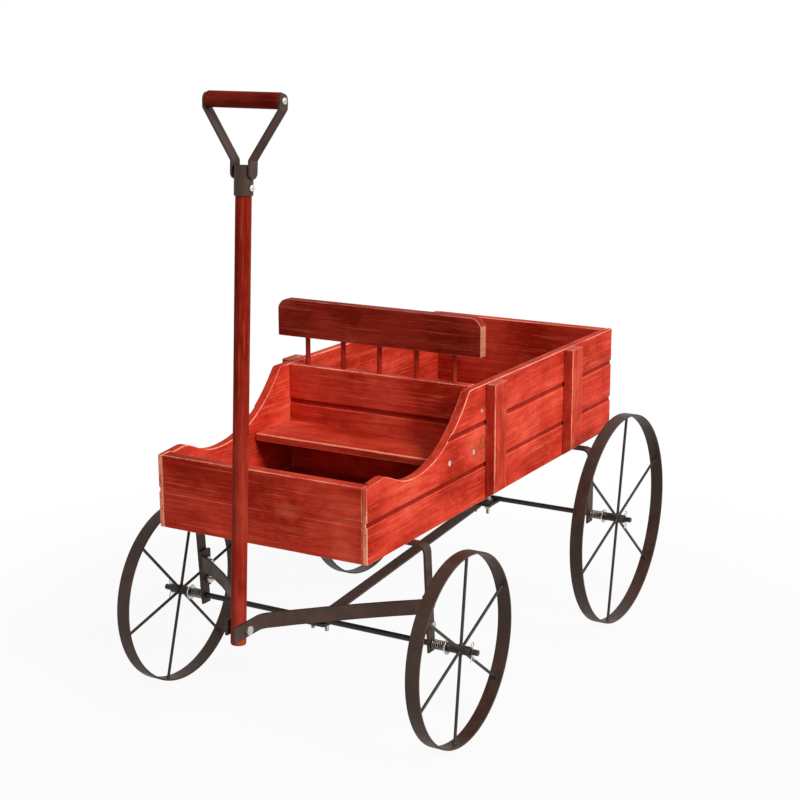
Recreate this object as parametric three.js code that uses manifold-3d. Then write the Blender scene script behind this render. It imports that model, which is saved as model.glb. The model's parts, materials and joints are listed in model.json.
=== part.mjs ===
// A small flower cart that stands as a planter: a red wooden box in two bays with a seat and a
// spindle backrest, carried by two flat-bar forks on four spoked wheels, with a pull handle that
// tilts on a bolt between two flat bars. Millimetres, X across, Y along, Z up from the ground.
// The handle end is at -Y. Lengthwise places are measured from the middle of the box.

import * as THREE from 'three';
import { mergeVertices } from 'three/addons/utils/BufferGeometryUtils.js';
import Module from 'manifold-3d';

const wasm = await Module();
wasm.setup();

// ---------- Driving dimensions ----------

const GAP = 0.3; // between pieces that touch

const BOX = { halfWidth: 114, halfLength: 271.5, bottom: 192, top: 310, frontTop: 262.7 };
const WALL = 9.5; // side panels
const END_PANEL = { thickness: 12, halfWidth: 108.7 };
const LIP = 5; // what a side panel keeps outside the end panels
const GROOVE = { depth: 1.3, frontDepth: 0.6, floor: 3.6, lower: [226, 231.5], upper: [268, 274.3] };
const EDGE = 1; // rounding of sawn edges
const CORNER = 1.8; // rounding of a board's corners, seen face on

// The side's top edge dips beside the seat and swells again at the front.
const DIP = { start: -72, shoulder: [-80, 308.5], low: [-187, 251], crest: [-243, 265.3], end: 262.5 };

const BATTEN = { thickness: 10.8, width: 25.7, slant: 7.5, middles: [-32.8, 152] };
const FLOOR = { thickness: 8, drainGap: 3 };
const SEAT_BACK = { front: -62.5, thickness: 12 };
const SEAT = { front: -127, bottom: 243, thickness: 8 };
const BACKREST = { front: -63, thickness: 11, halfLength: 117, bottom: 339, top: 377.5 };
const BACKREST_CORNER = { top: 12, bottom: 2 };
const SPINDLE = { radius: 2.5, y: -56.5, spacing: 42.5, count: 5, letIn: 8 };

const AXLE = { radius: 2.8, halfLength: 179 };
const FRONT = {
  y: -184, wheelRadius: 92.2, rimX: 160.8, spokeX: 160.8, legBottom: 84, legWidth: 12, lean: 0.08,
  saddleBeyond: 5, boltTail: 6,
};
const REAR = {
  y: 182.7, wheelRadius: 116.5, rimX: 164.5, spokeX: 163, legBottom: 106.7, legWidth: 13, lean: 0,
  saddleBeyond: 17, boltTail: 7,
};
const RIM = { width: 14, thickness: 2, facets: 60 };
const SPOKE = { radius: 1.5, count: 6 };
const HUB = { radius: 4.4, bore: 3.2, inner: 148, outer: 171.5 };
// Turn of the first spoke about the axle, from +Y toward +Z, in degrees.
const SPOKE_TURN = { front_right: 23, front_left: 13.5, rear_right: 20.5, rear_left: 41 };

const BAR = { width: 13, thickness: 2.2 }; // the reach bar; the forks are of the same thickness
const FORK = { outer: 130.6, top: 191.7, bend: 8 };
const WASHER = { radius: 7.5, bore: 3.2, inner: 146.5, thickness: 1.2 };
const SPRING = { wire: 1, meanRadius: 4.25, turns: 7, steps: 8, sides: 5 };
const SPLIT_PIN = { x: 173, wire: 0.55, spread: 0.75, hole: 1.6, eye: 2.3, leg: 9.5, splay: 3.6 };

const SADDLE = { halfWidth: 15, thickness: 3, insideAxle: 19, weld: 0.3 };
const REACH_END = { halfWidth: 13, thickness: 2.6, start: 3.6, end: 19 }; // from the axle's middle
const JOGGLE = { length: 6, drop: 2.8 }; // how the reach bar steps down between its ends
const REACH_BOLT = { x: 8, fromAxle: 10.5, radius: 2, across: 7, head: 2.8, nut: 3.4 };

const PIVOT = { y: -308, z: 125, hole: 3.3 };
const PIVOT_BOLT = { radius: 2.9, across: 8.4, head: 3, nut: 3, tail: 2 };
const HOUND = {
  height: 14, lift: 0.5, thickness: 2.6, middleX: 8.9, rise: 5,
  bendY: -285, bend: 12, rear: -192,
};
const HOUND_FRONT = { left: -315, right: -328 }; // the left bar is cut shorter
const HOUND_BOW = { left: 8, right: 3.5 }; // and each curves back a little between its ends
const TAB = { thickness: 2.2, front: -194.5, back: -178.5, bottom: 103, top: 141.5 };
const HOUND_BOLT = { radius: 2, across: 7, head: 2.6, nut: 3.2, tail: 4.5 };
const HOUND_BOLT_PLACES = { heights: [110.5, 131], behindLeg: 0.8 };

// Along the handle, measured from its pivot. It leans back by LEAN.
const LEAN = THREE.MathUtils.degToRad(3.66);
const POLE = { radius: 7.15, bottom: -15.5, top: 411 };
const SOCKET = { radius: 8.5, bore: 7.45, bottom: 387, top: 412.8, screw: 393.6 };
const STRAP = { width: 12, thickness: 2, bottom: 401, bendLow: 417, bendHigh: 460.8, plateX: 39.2 };
const GRIP = { radius: 7.15, height: 467.7, halfLength: 37.9, hole: 1.8, holeDepth: 16 };
const SCREW = { shank: 1.5, head: 3.25, headHeight: 2, length: 15 };

// ---------- Helpers ----------

const X = new THREE.Vector3(1, 0, 0);
const Y = new THREE.Vector3(0, 1, 0);
const Z = new THREE.Vector3(0, 0, 1);
const ALONG_X = new THREE.Matrix4().makeBasis(Y, Z, X); // outline in YZ, thickness toward +X
const ALONG_Y = new THREE.Matrix4().makeBasis(X, Z, Y.clone().negate()); // outline in XZ

function solid(geometry) {
  const bare = geometry.clone();
  bare.deleteAttribute('normal');
  bare.deleteAttribute('uv');
  const closed = mergeVertices(bare, 1e-4);
  const corners = closed.index.array;
  const kept = [];
  for (let i = 0; i < corners.length; i += 3) {
    const [a, b, c] = [corners[i], corners[i + 1], corners[i + 2]];
    if (a !== b && b !== c && c !== a) kept.push(a, b, c);
  }
  const vertProperties = new Float32Array(closed.attributes.position.array);
  return new wasm.Manifold(new wasm.Mesh({ numProp: 3, vertProperties, triVerts: new Uint32Array(kept) }));
}

function geometryOf(manifold) {
  const { vertProperties, triVerts } = manifold.getMesh();
  const geometry = new THREE.BufferGeometry();
  geometry.setAttribute('position', new THREE.BufferAttribute(vertProperties, 3));
  geometry.setIndex(new THREE.BufferAttribute(triVerts, 1));
  const flat = geometry.toNonIndexed();
  flat.computeVertexNormals();
  return flat;
}

const joined = (first, ...rest) => geometryOf(rest.reduce((sum, g) => sum.add(solid(g)), solid(first)));
const cut = (body, ...tools) => geometryOf(tools.reduce((left, g) => left.subtract(solid(g)), solid(body)));
const shared = (a, b) => geometryOf(solid(a).intersect(solid(b)));

// The same piece for the other side: mirrored in X, with each triangle turned to face out again.
function mirrored(geometry) {
  const copy = geometry.index ? geometry.toNonIndexed() : geometry.clone();
  const { array } = copy.attributes.position;
  for (let i = 0; i < array.length; i += 9) {
    const [ax, ay, az, bx, by, bz] = array.slice(i, i + 6);
    array.set([-bx, by, bz, -ax, ay, az, -array[i + 6]], i);
  }
  copy.computeVertexNormals();
  return copy;
}

const onSide = (side, geometry) => (side < 0 ? mirrored(geometry) : geometry);
const moved = (geometry, x, y, z) => geometry.translate(x, y, z);

function block(low, high) {
  const size = high.map((value, i) => value - low[i]);
  const middle = high.map((value, i) => (value + low[i]) / 2);
  return moved(new THREE.BoxGeometry(...size), ...middle);
}

// A round rod along X from x0 to x1, its sides kept flat at the top and bottom.
function rodX(radius, x0, x1, sides = 24) {
  const rod = new THREE.CylinderGeometry(radius, radius, x1 - x0, sides);
  return moved(rod.rotateZ(-Math.PI / 2), (x0 + x1) / 2, 0, 0);
}

function rodZ(radius, z0, z1, sides = 16) {
  const rod = new THREE.CylinderGeometry(radius, radius, z1 - z0, sides);
  return moved(rod.rotateX(Math.PI / 2), 0, 0, (z0 + z1) / 2);
}

// A profile of [radius, height] pairs turned about Z, drawn upward along its outside.
function turned(profile, sides = 24) {
  const points = profile.map(([radius, height]) => new THREE.Vector2(radius, height));
  return new THREE.LatheGeometry(points, sides).rotateX(Math.PI / 2);
}

// An outline given thickness from 0 upward, its long edges rounded.
function slab(shape, thickness, rounding, curveSegments = 6) {
  const settings = {
    depth: thickness - 2 * rounding,
    bevelEnabled: rounding > 0,
    bevelThickness: rounding,
    bevelSize: rounding,
    bevelOffset: -rounding,
    bevelSegments: 2,
    curveSegments,
  };
  return new THREE.ExtrudeGeometry(shape, settings).translate(0, 0, rounding);
}

// A rectangle whose lower and upper corners are rounded by their own radii; 0 is a sharp corner.
function rectangle(x0, x1, y0, y1, low = CORNER, high = low) {
  const shape = new THREE.Shape();
  const corners = [[x1, y0, low, -1, 1], [x1, y1, high, -1, -1], [x0, y1, high, 1, -1], [x0, y0, low, 1, 1]];
  shape.moveTo(x0 + low, y0);
  corners.forEach(([x, y, radius, inX, inY], i) => {
    const start = ((i - 1) * Math.PI) / 2;
    if (radius > 0) shape.absarc(x + inX * radius, y + inY * radius, radius, start, start + Math.PI / 2);
    else shape.lineTo(x, y);
  });
  return shape;
}

// A board standing across the cart: outline in XZ, front face at y0.
function boardAcross(shape, y0, thickness, curveSegments = 2) {
  return moved(slab(shape, thickness, EDGE, curveSegments).applyMatrix4(ALONG_Y), 0, y0 + thickness, 0);
}

// A strip of even thickness that follows points [across, up], bent round each inner point.
function strip(points, thickness, bendRadius) {
  const path = new THREE.CurvePath();
  let from = new THREE.Vector2(...points[0]);
  for (let i = 1; i < points.length - 1; i += 1) {
    const corner = new THREE.Vector2(...points[i]);
    const next = new THREE.Vector2(...points[i + 1]);
    const before = from.clone().sub(corner).normalize();
    const after = next.clone().sub(corner).normalize();
    const reach = bendRadius / Math.tan(before.angleTo(after) / 2);
    const start = corner.clone().addScaledVector(before, reach);
    const end = corner.clone().addScaledVector(after, reach);
    path.add(new THREE.LineCurve(from, start));
    path.add(new THREE.QuadraticBezierCurve(start, corner, end));
    from = end;
  }
  path.add(new THREE.LineCurve(from, new THREE.Vector2(...points.at(-1))));
  const middle = path.curves.flatMap((curve) => curve.getPoints(curve.isLineCurve ? 1 : 6));
  const line = middle.filter((point, i) => i === 0 || point.distanceTo(middle[i - 1]) > 1e-6);
  const side = (sign) => line.map((point, i) => {
    const back = line[Math.max(i - 1, 0)];
    const ahead = line[Math.min(i + 1, line.length - 1)];
    const along = ahead.clone().sub(back).normalize();
    const into = point.clone().sub(back).normalize();
    const halfTurn = i === 0 || i === line.length - 1 ? 1 : Math.max(Math.abs(along.dot(into)), 0.5);
    const normal = new THREE.Vector2(-along.y, along.x);
    return point.clone().addScaledVector(normal, (sign * thickness) / 2 / halfTurn);
  });
  return new THREE.Shape([...side(-1), ...side(1).reverse()]);
}

function hexagon(across, x0, x1) {
  return rodX(across / Math.sqrt(3), x0, x1, 6);
}

// A bolt along X with its head's underside at x = 0, its nut's seat at -clamped, one solid.
function boltWithNut({ radius, across, head, nut, tail }, clamped) {
  const shank = rodX(radius, -clamped - nut - tail, head / 2, 12);
  const headPrism = hexagon(across, 0, head);
  const nutPrism = hexagon(across, -clamped - nut, -clamped);
  return joined(headPrism, shank, nutPrism);
}

// A round-headed screw along X, head's underside at x = 0, pointing toward -X.
function roundScrew(length) {
  const { shank, head, headHeight } = SCREW;
  const profile = [[0, -length], [shank * 0.4, -length], [shank, 1.6 - length], [shank, 0], [head, 0]];
  const dome = [[head, headHeight * 0.3], [head * 0.75, headHeight * 0.8], [head * 0.35, headHeight]];
  return turned([...profile, ...dome, [0, headHeight]], 16).rotateY(Math.PI / 2);
}

function mesh(name, geometry, material) {
  const piece = new THREE.Mesh(geometry, material);
  piece.name = name;
  return piece;
}

const finish = (color, roughness, metalness) => {
  return new THREE.MeshStandardMaterial({ color, roughness, metalness });
};
const redWood = () => finish(0xb5332a, 0.55, 0);
const redDowel = () => finish(0x9e2a1f, 0.55, 0);
const bronze = () => finish(0x40352f, 0.5, 0.6);
const zinc = () => finish(0xb4b4ac, 0.35, 0.9);

// ---------- Box ----------

// Cuts one lengthwise groove in an outer face at x = face: wide at the face, narrow at its floor.
function grooveTool([low, high], face, halfLength, depth = GROOVE.depth) {
  const middle = (low + high) / 2;
  const inner = face - depth;
  const outer = face + 1;
  const flare = ((high - low) / 2 - GROOVE.floor / 2) / depth;
  const reach = (high - low) / 2 + flare;
  const shape = new THREE.Shape([
    new THREE.Vector2(inner, middle - GROOVE.floor / 2),
    new THREE.Vector2(outer, middle - reach),
    new THREE.Vector2(outer, middle + reach),
    new THREE.Vector2(inner, middle + GROOVE.floor / 2),
  ]);
  return moved(slab(shape, 2 * halfLength, 0).applyMatrix4(ALONG_Y), 0, halfLength, 0);
}

const turnedToFront = (tool) => tool.rotateZ(-Math.PI / 2);
const turnedToRear = (tool) => tool.rotateZ(Math.PI / 2);

function sidePanel(side) {
  const { halfLength, bottom, top, halfWidth } = BOX;
  const [lowY, lowZ] = DIP.low;
  const [crestY, crestZ] = DIP.crest;
  const shape = new THREE.Shape();
  shape.moveTo(-halfLength, bottom);
  shape.lineTo(halfLength, bottom);
  shape.lineTo(halfLength, top);
  shape.lineTo(DIP.start, top);
  shape.quadraticCurveTo(-77, top, ...DIP.shoulder);
  shape.bezierCurveTo(-111, 269.5, -147, lowZ, lowY, lowZ);
  shape.bezierCurveTo(-217, lowZ, -229, 265.5, crestY, crestZ);
  shape.lineTo(-halfLength, DIP.end);
  const inner = halfWidth - WALL;
  const panel = moved(slab(shape, WALL, EDGE, 10).applyMatrix4(ALONG_X), inner, 0, 0);
  const rabbetLength = END_PANEL.thickness + GAP;
  const rabbets = [-1, 1].map((end) => {
    const edge = end * (halfLength + 1);
    const shoulder = end * (halfLength - rabbetLength);
    const [y0, y1] = [Math.min(edge, shoulder), Math.max(edge, shoulder)];
    return block([inner - 1, y0, bottom - 1], [halfWidth - LIP, y1, top + 1]);
  });
  const grooves = [GROOVE.lower, GROOVE.upper].map((band) => grooveTool(band, halfWidth, halfLength + 1));
  return onSide(side, cut(panel, ...rabbets, ...grooves));
}

function frontPanel() {
  const { halfWidth, thickness } = END_PANEL;
  const shape = rectangle(-halfWidth, halfWidth, BOX.bottom, BOX.frontTop, 0);
  const panel = boardAcross(shape, -BOX.halfLength, thickness);
  const groove = grooveTool(GROOVE.lower, BOX.halfLength, halfWidth + 1, GROOVE.frontDepth);
  return cut(panel, turnedToFront(groove));
}

function rearPanel() {
  const { halfWidth, thickness } = END_PANEL;
  const shape = rectangle(-halfWidth, halfWidth, BOX.bottom, BOX.top, 0);
  const panel = boardAcross(shape, BOX.halfLength - thickness, thickness);
  const bands = [GROOVE.lower, GROOVE.upper];
  return cut(panel, ...bands.map((band) => turnedToRear(grooveTool(band, BOX.halfLength, halfWidth + 1))));
}

const bayHalfWidth = BOX.halfWidth - WALL - GAP;
const bayHalfLength = BOX.halfLength - END_PANEL.thickness - GAP;

// The floor between two places along the box, with a gap for drainage along each wall.
function floorBoard(from, to) {
  const halfWidth = bayHalfWidth - FLOOR.drainGap;
  const shape = rectangle(-halfWidth, halfWidth, from, to);
  return moved(slab(shape, FLOOR.thickness, EDGE, 2), 0, 0, BOX.bottom);
}

const spindlePlaces = Array.from({ length: SPINDLE.count }, (_, i) => {
  return (i - (SPINDLE.count - 1) / 2) * SPINDLE.spacing;
});

function spindleHoles(z0, z1) {
  return spindlePlaces.map((x) => moved(rodZ(SPINDLE.radius + GAP, z0, z1, 12), x, SPINDLE.y, 0));
}

function seatBack() {
  const { front, thickness } = SEAT_BACK;
  const shape = rectangle(-bayHalfWidth, bayHalfWidth, BOX.bottom, BOX.top, 0);
  const groove = turnedToFront(grooveTool(GROOVE.upper, -front, bayHalfWidth + 1));
  const holes = spindleHoles(BOX.top - SPINDLE.letIn - GAP, BOX.top + 1);
  return cut(boardAcross(shape, front, thickness), groove, ...holes);
}

function seatBoard() {
  const back = SEAT_BACK.front - GAP;
  const shape = rectangle(-bayHalfWidth, bayHalfWidth, SEAT.front, back);
  return moved(slab(shape, SEAT.thickness, EDGE, 2), 0, 0, SEAT.bottom);
}

function backrestBoard() {
  const { halfLength, bottom, top, front, thickness } = BACKREST;
  const { bottom: lowCorner, top: highCorner } = BACKREST_CORNER;
  const shape = rectangle(-halfLength, halfLength, bottom, top, lowCorner, highCorner);
  const holes = spindleHoles(bottom - 1, bottom + SPINDLE.letIn + GAP);
  return cut(boardAcross(shape, front, thickness, 5), ...holes);
}

function spindle(x) {
  const z0 = BOX.top - SPINDLE.letIn;
  const z1 = BACKREST.bottom + SPINDLE.letIn;
  return moved(rodZ(SPINDLE.radius, z0, z1, 20), x, SPINDLE.y, 0);
}

// An upright strip outside a side panel. Its foot is cut on a slant, higher on the outside.
function batten(side, middle) {
  const inner = BOX.halfWidth + GAP;
  const shape = rectangle(middle - BATTEN.width / 2, middle + BATTEN.width / 2, BOX.bottom, BOX.top);
  const piece = slab(shape, BATTEN.thickness, EDGE, 2).applyMatrix4(ALONG_X);
  const { position } = piece.attributes;
  for (let i = 0; i < position.count; i += 1) {
    const outward = position.getX(i) / BATTEN.thickness;
    if (position.getZ(i) < (BOX.bottom + BOX.top) / 2) {
      position.setZ(i, position.getZ(i) + BATTEN.slant * outward);
    }
  }
  return onSide(side, moved(piece, inner, 0, 0));
}

// ---------- Undercarriage ----------

const SIDES = [['left', -1], ['right', 1]];
const ENDS = [['front', FRONT], ['rear', REAR]];

// How far the fork's leg stands forward of its axle at a height.
const forkLean = (end, z) => -end.lean * (z - end.wheelRadius);

function leaned(geometry, end) {
  const slope = new THREE.Matrix4().makeShear(0, 0, 0, 0, 0, 0);
  slope.elements[9] = -end.lean; // y changes with z
  slope.elements[13] = end.lean * end.wheelRadius;
  return geometry.applyMatrix4(slope);
}

// Where the bolts through the hounds' tabs cross the front fork's legs.
const houndBoltY = (height) => FRONT.y + forkLean(FRONT, height) + HOUND_BOLT_PLACES.behindLeg;

function houndBoltHoles(x0, x1) {
  return HOUND_BOLT_PLACES.heights.map((height) => {
    return moved(rodX(HOUND_BOLT.radius + GAP, x0, x1, 12), 0, houndBoltY(height), height);
  });
}

function fork(end) {
  const half = BAR.thickness / 2;
  const x = FORK.outer - half;
  const z = FORK.top - half;
  const points = [[-x, end.legBottom], [-x, z], [x, z], [x, end.legBottom]];
  const bar = slab(strip(points, BAR.thickness, FORK.bend), end.legWidth, 0).applyMatrix4(ALONG_Y);
  const axleHole = moved(rodX(AXLE.radius + GAP, -140, 140, 20), 0, 0, end.wheelRadius);
  const leaning = moved(leaned(moved(bar, 0, end.legWidth / 2, 0), end), 0, end.y, 0);
  const boltHoles = end === FRONT ? houndBoltHoles(-140, 140) : [];
  return cut(leaning, moved(axleHole, 0, end.y, 0), ...boltHoles);
}

const saddleTop = (end) => end.wheelRadius - AXLE.radius + SADDLE.weld;
const inward = (end) => -Math.sign(end.y); // from an axle toward the middle of the cart
const reachBoltY = (end) => end.y + inward(end) * REACH_BOLT.fromAxle;

function reachBoltHoles(end, z0, z1) {
  return [-1, 1].map((side) => {
    return moved(rodZ(REACH_BOLT.radius + GAP, z0, z1, 12), side * REACH_BOLT.x, reachBoltY(end), 0);
  });
}

// A round bar with the plate that carries the reach bar welded under its middle.
function axle(end) {
  const { radius, halfLength } = AXLE;
  const rod = moved(rodX(radius, -halfLength, halfLength, 20), 0, end.y, end.wheelRadius);
  const pinHoles = [-1, 1].map((side) => {
    const hole = rodZ(SPLIT_PIN.hole, -radius - 1, radius + 1, 12);
    return moved(hole, side * SPLIT_PIN.x, end.y, end.wheelRadius);
  });
  const { halfWidth, thickness, insideAxle } = SADDLE;
  const ys = [end.y - inward(end) * end.saddleBeyond, end.y + inward(end) * insideAxle];
  const shape = rectangle(-halfWidth, halfWidth, Math.min(...ys), Math.max(...ys), 3);
  const plateBottom = saddleTop(end) - thickness;
  const plate = moved(slab(shape, thickness, 0, 4), 0, 0, plateBottom);
  return cut(joined(rod, plate), ...pinHoles, ...reachBoltHoles(end, plateBottom - 1, saddleTop(end) + 1));
}

// The flat bar that joins the two axles. It is wider where it lies on the saddle plates, and
// between them it runs a little lower.
function reachBar() {
  const plateBottom = (end) => saddleTop(end) + GAP;
  const middle = (end) => plateBottom(end) + REACH_END.thickness / 2;
  const at = (end, fromAxle, drop = 0) => [end.y + inward(end) * fromAxle, middle(end) - drop];
  const [inPlate, bend] = [REACH_END.start + 1, REACH_END.end + 1];
  const endPoints = (end) => [at(end, inPlate), at(end, bend), at(end, bend + JOGGLE.length, JOGGLE.drop)];
  const way = [...endPoints(FRONT), ...endPoints(REAR).reverse()];
  const side = slab(strip(way, BAR.thickness, 6), BAR.width, 0);
  const bar = moved(side.applyMatrix4(ALONG_X), -BAR.width / 2, 0, 0);
  const plates = ENDS.map(([, end]) => {
    const ys = [REACH_END.start, REACH_END.end].map((distance) => end.y + inward(end) * distance);
    const { halfWidth, thickness } = REACH_END;
    const shape = rectangle(-halfWidth, halfWidth, Math.min(...ys), Math.max(...ys), 2);
    return moved(slab(shape, thickness, 0, 3), 0, 0, plateBottom(end));
  });
  const holes = ENDS.flatMap(([, end]) => reachBoltHoles(end, saddleTop(end) - 1, saddleTop(end) + 4));
  return cut(joined(bar, ...plates), ...holes);
}

function reachBolt(end, side) {
  const clamped = SADDLE.thickness + REACH_END.thickness + 3 * GAP;
  const upright = boltWithNut({ ...REACH_BOLT, tail: end.boltTail }, clamped).rotateY(-Math.PI / 2);
  const headSeat = saddleTop(end) + REACH_END.thickness + 2 * GAP;
  return moved(upright, side * REACH_BOLT.x, reachBoltY(end), headSeat);
}

const legInner = FORK.outer - BAR.thickness;
const tabOuter = legInner - GAP;
const tabInner = tabOuter - TAB.thickness;

// A flat bar on edge from the handle's pivot back and out to the front fork, with a bolting tab.
function hound(side, front, bow) {
  const { height, lift, thickness, bendY, bend, rear, middleX, rise } = HOUND;
  const rearX = (tabInner + tabOuter) / 2;
  const bowed = [0.2, 0.4, 0.6, 0.8].map((t) => {
    const y = THREE.MathUtils.lerp(bendY, rear, t) + 4 * bow * t * (1 - t);
    return [THREE.MathUtils.lerp(middleX, rearX, t), y];
  });
  const plan = strip([[middleX, front], [middleX, bendY], ...bowed, [rearX, rear]], thickness, bend);
  const bar = moved(slab(plan, height, 0), 0, 0, PIVOT.z + lift - height / 2);
  const { position } = bar.attributes;
  for (let i = 0; i < position.count; i += 1) {
    const along = Math.max(position.getY(i) - bendY, 0) / (rear - bendY);
    position.setZ(i, position.getZ(i) + rise * along);
  }
  const tabShape = rectangle(TAB.front, TAB.back, TAB.bottom, TAB.top, 1.5);
  const tab = moved(slab(tabShape, TAB.thickness, 0, 3).applyMatrix4(ALONG_X), tabInner, 0, 0);
  const pivotHole = moved(rodX(PIVOT_BOLT.radius + GAP, 0, 20, 16), 0, PIVOT.y, PIVOT.z);
  const outsideTab = block([tabOuter, -400, 0], [150, 0, 200]);
  return onSide(side, cut(joined(tab, bar), pivotHole, ...houndBoltHoles(118, 132), outsideTab));
}

function houndBolt(side, height) {
  const clamped = BAR.thickness + TAB.thickness + 3 * GAP;
  const bolt = moved(boltWithNut(HOUND_BOLT, clamped), FORK.outer + GAP, houndBoltY(height), height);
  return onSide(side, bolt);
}

const houndOuter = HOUND.middleX + HOUND.thickness / 2;

function pivotBolt() {
  const seat = houndOuter + GAP;
  return moved(boltWithNut(PIVOT_BOLT, 2 * seat), seat, PIVOT.y, PIVOT.z);
}

// ---------- Wheels and what holds them ----------

// A wheel's rim about the local X axis, centred on x = 0.
function rim(end) {
  const { width, thickness, facets } = RIM;
  const outer = end.wheelRadius / Math.cos(Math.PI / facets); // flats touch the ground, not corners
  const inner = outer - thickness;
  const half = width / 2;
  const section = [[inner, half], [inner, -half], [outer, -half], [outer, half], [inner, half]];
  return turned(section, facets).rotateZ(Math.PI / facets).rotateY(Math.PI / 2);
}

// The hub tube with its spokes, which end just inside the rim they are welded to.
function spokes(end, turn, side) {
  const { wheelRadius, rimX, spokeX } = end;
  const hub = rodX(HUB.radius, HUB.inner - rimX, HUB.outer - rimX, 20);
  const rods = Array.from({ length: SPOKE.count }, (_, i) => {
    const rod = rodZ(SPOKE.radius, 0, wheelRadius - RIM.thickness - GAP, 12);
    const angle = THREE.MathUtils.degToRad(turn + (i * 360) / SPOKE.count);
    return moved(rod.rotateX(angle - Math.PI / 2), spokeX - rimX, 0, 0);
  });
  const bore = rodX(HUB.bore, -40, 40, 20);
  return onSide(side, cut(joined(hub, ...rods), bore));
}

function washer(end, side) {
  const { radius, bore, inner, thickness } = WASHER;
  const ring = cut(rodX(radius, inner, inner + thickness, 24), rodX(bore, inner - 1, inner + 3, 16));
  return moved(onSide(side, ring), 0, end.y, end.wheelRadius);
}

// Centre line of a spring round the X axis: turns of even pitch between two short straight ends.
function springLine() {
  const { wire, meanRadius, turns, steps } = SPRING;
  const x0 = FORK.outer + GAP;
  const x1 = WASHER.inner - GAP;
  const coilStart = x0 + wire;
  const coilLength = x1 - x0 - 2 * wire;
  const at = (x, angle) => new THREE.Vector3(x, meanRadius * Math.cos(angle), meanRadius * Math.sin(angle));
  const coil = Array.from({ length: turns * steps + 1 }, (_, i) => {
    return at(coilStart + (coilLength * i) / (turns * steps), (i * 2 * Math.PI) / steps);
  });
  return [at(x0, 0), ...coil, at(x1, 2 * Math.PI * turns)];
}

// A closed tube round a line that winds about the X axis, mitred at every point.
function coilTube(line, radius, sides) {
  const vertices = [];
  line.forEach((point, i) => {
    const before = point.clone().sub(line[Math.max(i - 1, 0)]).normalize();
    const after = line[Math.min(i + 1, line.length - 1)].clone().sub(point).normalize();
    const into = before.lengthSq() ? before : after;
    const out = after.lengthSq() ? after : before;
    const along = into.clone().add(out).normalize();
    const turn = into.clone().sub(out);
    const stretch = turn.lengthSq() > 1e-9 ? 1 / along.dot(into) - 1 : 0;
    turn.normalize();
    const radial = new THREE.Vector3(0, point.y, point.z).normalize();
    const across = along.clone().cross(radial).normalize();
    const outward = across.clone().cross(along);
    for (let s = 0; s < sides; s += 1) {
      const angle = (s * 2 * Math.PI) / sides;
      const offset = outward.clone().multiplyScalar(Math.cos(angle)).addScaledVector(across, Math.sin(angle));
      offset.addScaledVector(turn, offset.dot(turn) * stretch).multiplyScalar(radius);
      vertices.push(...point.clone().add(offset).toArray());
    }
  });
  const faces = [];
  for (let i = 0; i < line.length - 1; i += 1) {
    for (let s = 0; s < sides; s += 1) {
      const [a, b] = [i * sides + s, i * sides + ((s + 1) % sides)];
      faces.push(a, b, b + sides, a, b + sides, a + sides);
    }
  }
  const last = (line.length - 1) * sides;
  for (let s = 1; s < sides - 1; s += 1) {
    faces.push(0, s + 1, s, last, last + s, last + s + 1);
  }
  const tube = new THREE.BufferGeometry();
  tube.setAttribute('position', new THREE.Float32BufferAttribute(vertices, 3));
  tube.setIndex(faces);
  const flat = tube.toNonIndexed();
  flat.computeVertexNormals();
  return flat;
}

// Least clear space between turns, measured between points of the line at least half a turn apart.
function leastSpringGap() {
  const line = new THREE.CatmullRomCurve3(springLine(), false, 'centripetal').getPoints(900);
  const perTurn = 900 / SPRING.turns;
  let least = Infinity;
  line.forEach((point, i) => {
    for (let j = i + Math.round(perTurn / 2); j < line.length; j += 1) {
      least = Math.min(least, point.distanceTo(line[j]) - SPRING.wire);
    }
  });
  return least;
}

function spring(end, side) {
  const tube = coilTube(springLine(), SPRING.wire / 2, SPRING.sides);
  return moved(onSide(side, tube), 0, end.y, end.wheelRadius);
}

// A split pin stands upright through the axle: an eye above it and two spread legs below.
function splitPin(end, side) {
  const { x, wire, spread, eye, leg, splay } = SPLIT_PIN;
  const top = AXLE.radius + wire;
  const half = [
    [splay, -leg], [spread + 0.6, -top - 1.4], [spread, -top], [spread, 0], [spread, top],
    [eye * 0.8, top + eye * 0.7], [eye, top + eye * 1.5], [eye * 0.62, top + eye * 2.3],
  ];
  const crown = [0, top + eye * 2.6];
  const way = [...half, crown, ...half.map(([y, z]) => [-y, z]).reverse()];
  const points = way.map(([y, z]) => new THREE.Vector3(0, y, z));
  const extrudePath = new THREE.CatmullRomCurve3(points, false, 'centripetal');
  const section = new THREE.Shape();
  section.absarc(0, 0, wire, 0, 2 * Math.PI);
  const settings = { steps: 22, curveSegments: 3, bevelEnabled: false, extrudePath };
  const pin = new THREE.ExtrudeGeometry(section, settings);
  return moved(pin, side * x, end.y, end.wheelRadius);
}

// ---------- Handle, about its pivot, upright ----------

function pole() {
  const { radius, bottom, top } = POLE;
  const profile = [[0, bottom], [radius - 2, bottom], [radius - 0.6, bottom + 0.6], [radius, bottom + 2]];
  const dowel = turned([...profile, [radius, top - 1], [radius - 1, top], [0, top]], 24);
  const screwHole = moved(rodX(SCREW.shank + GAP, -10, 10, 12), 0, 0, SOCKET.screw);
  return cut(dowel, rodX(PIVOT.hole, -10, 10, 16), screwHole);
}

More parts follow.
